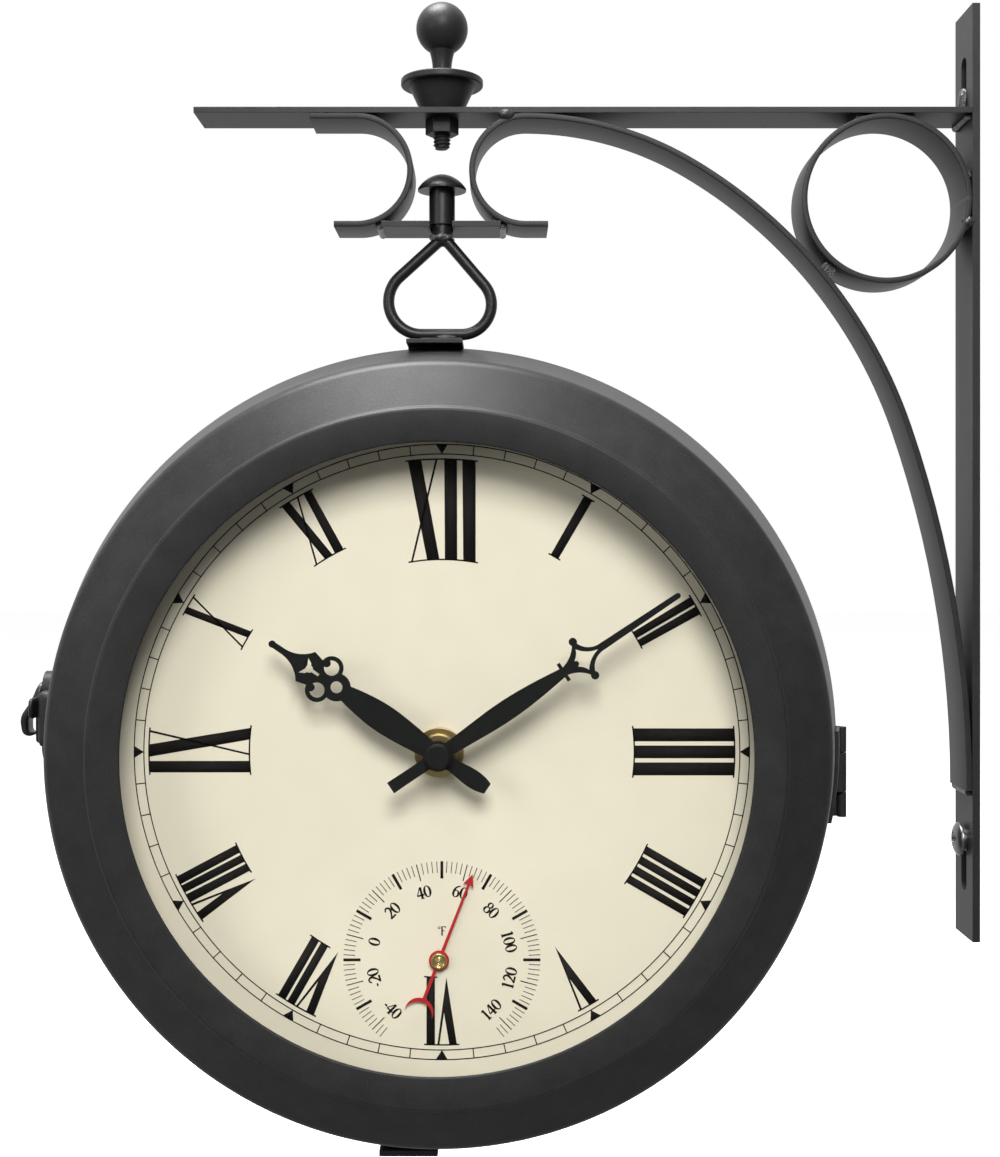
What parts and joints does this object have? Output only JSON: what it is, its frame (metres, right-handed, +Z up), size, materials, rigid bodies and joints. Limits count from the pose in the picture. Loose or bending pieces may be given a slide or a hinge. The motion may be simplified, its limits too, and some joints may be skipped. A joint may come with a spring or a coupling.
{
  "type": "double sided station clock",
  "caption": "Two-faced round wall clock with thermometers, hung by a swivel pin and rod loop from a strap bracket with scrolls, brace and ball finial.",
  "frame": {"origin": "on the wall face of the bracket's upright bar, half way up it and on its middle line", "axes": "+X into the wall, -Y out of the front dial, +Z up"},
  "size_m": [0.3317, 0.09, 0.3973],
  "materials": {
    "charcoal_coat": "satin fine-textured powder coat",
    "gloss_black_coat": "semi-gloss black",
    "dark_steel": "blackened steel",
    "clear_glass": "clear flat glass",
    "glass_seal": "black rubber",
    "cream_enamel": "matt cream print ground",
    "zinc_steel": "zinc plated",
    "movement_plastic": "black moulded",
    "battery_jacket": "plain printed jacket",
    "spring_contact": "nickel plated spring steel",
    "hand_black": "matt black",
    "polished_brass": "polished",
    "bimetal_strip": "rolled strip",
    "red_enamel": "red"
  },
  "bodies": {
    "bracket": {"wall_bar": "charcoal_coat", "top_arm": "charcoal_coat", "brace": "charcoal_coat", "left_scroll": "charcoal_coat", "lower_arm": "charcoal_coat", "corner_ring": "charcoal_coat", "bracket_welds": "charcoal_coat", "finial_cup": "charcoal_coat", "finial_ball": "charcoal_coat", "finial_stud": "dark_steel", "finial_nut": "dark_steel"},
    "clock": {"hanger_pin": "gloss_black_coat", "hanger_loop": "gloss_black_coat", "loop_foot": "charcoal_coat", "hanger_plate": "charcoal_coat", "rear_case": "charcoal_coat", "rear_glass": "clear_glass", "rear_glass_ring": "glass_seal", "rear_dial": "cream_enamel", "rear_dial_tabs": "zinc_steel", "rear_dial_screws": "zinc_steel", "rear_movement": "movement_plastic", "rear_battery": "battery_jacket", "rear_battery_contacts": "spring_contact", "rear_shaft_nut": "polished_brass", "rear_thermo_cup": "zinc_steel", "rear_thermo_coil": "bimetal_strip", "seam_band": "charcoal_coat", "hinge_leaf_rear": "charcoal_coat", "hinge_pin": "dark_steel", "latch_base": "charcoal_coat", "latch_pivot": "dark_steel", "seam_tab": "charcoal_coat"},
    "front_half": {"front_case": "charcoal_coat", "front_glass": "clear_glass", "front_glass_ring": "glass_seal", "front_dial": "cream_enamel", "front_dial_tabs": "zinc_steel", "front_dial_screws": "zinc_steel", "front_movement": "movement_plastic", "front_battery": "battery_jacket", "front_battery_contacts": "spring_contact", "front_shaft_nut": "polished_brass", "front_thermo_cup": "zinc_steel", "front_thermo_coil": "bimetal_strip", "hinge_leaf_front": "charcoal_coat", "latch_keeper": "charcoal_coat"},
    "latch_thumb": {"latch_lever": "gloss_black_coat"},
    "front_minute": {"front_minute_hand": "hand_black", "front_hand_cap": "hand_black", "front_setting_knob": "movement_plastic"},
    "front_hour": {"front_hour_hand": "hand_black"},
    "front_thermo": {"front_thermo_pointer": "red_enamel", "front_thermo_hub": "polished_brass"},
    "rear_minute": {"rear_minute_hand": "hand_black", "rear_hand_cap": "hand_black", "rear_setting_knob": "movement_plastic"},
    "rear_hour": {"rear_hour_hand": "hand_black"},
    "rear_thermo": {"rear_thermo_pointer": "red_enamel", "rear_thermo_hub": "polished_brass"}
  },
  "joints": [
    {"name": "clock_swivel", "type": "hinge", "parent": "bracket", "child": "clock", "pos_m": [-0.1845, 0, 0.0852], "axis": [0, 0, 1], "continuous": true},
    {"name": "case_open", "type": "hinge", "parent": "clock", "child": "front_half", "pos_m": [-0.0452, 0, -0.1037], "axis": [0, 0, 1], "range_deg": [0, 80]},
    {"name": "latch_turn", "type": "hinge", "parent": "clock", "child": "latch_thumb", "pos_m": [-0.3256, 0.007, -0.0811], "axis": [1, 0, 0], "range_deg": [0, 90]},
    {"name": "front_minute_turn", "type": "hinge", "parent": "front_half", "child": "front_minute", "pos_m": [-0.1845, -0.036, -0.0935], "axis": [0, 1, 0], "continuous": true},
    {"name": "front_hour_turn", "type": "hinge", "parent": "front_half", "child": "front_hour", "pos_m": [-0.1845, -0.033, -0.0935], "axis": [0, 1, 0], "continuous": true},
    {"name": "front_thermo_turn", "type": "hinge", "parent": "front_half", "child": "front_thermo", "pos_m": [-0.1845, -0.0236, -0.1625], "axis": [0, 1, 0], "range_deg": [-156.3, 113.7]},
    {"name": "rear_minute_turn", "type": "hinge", "parent": "clock", "child": "rear_minute", "pos_m": [-0.1845, 0.036, -0.0935], "axis": [0, -1, 0], "continuous": true},
    {"name": "rear_hour_turn", "type": "hinge", "parent": "clock", "child": "rear_hour", "pos_m": [-0.1845, 0.033, -0.0935], "axis": [0, -1, 0], "continuous": true},
    {"name": "rear_thermo_turn", "type": "hinge", "parent": "clock", "child": "rear_thermo", "pos_m": [-0.1845, 0.0236, -0.1625], "axis": [0, -1, 0], "range_deg": [-156.3, 113.7]}
  ],
  "couplings": [
    {"joint": "front_hour_turn", "follows": "front_minute_turn", "ratio": 0.083333},
    {"joint": "rear_hour_turn", "follows": "rear_minute_turn", "ratio": 0.083333}
  ]
}
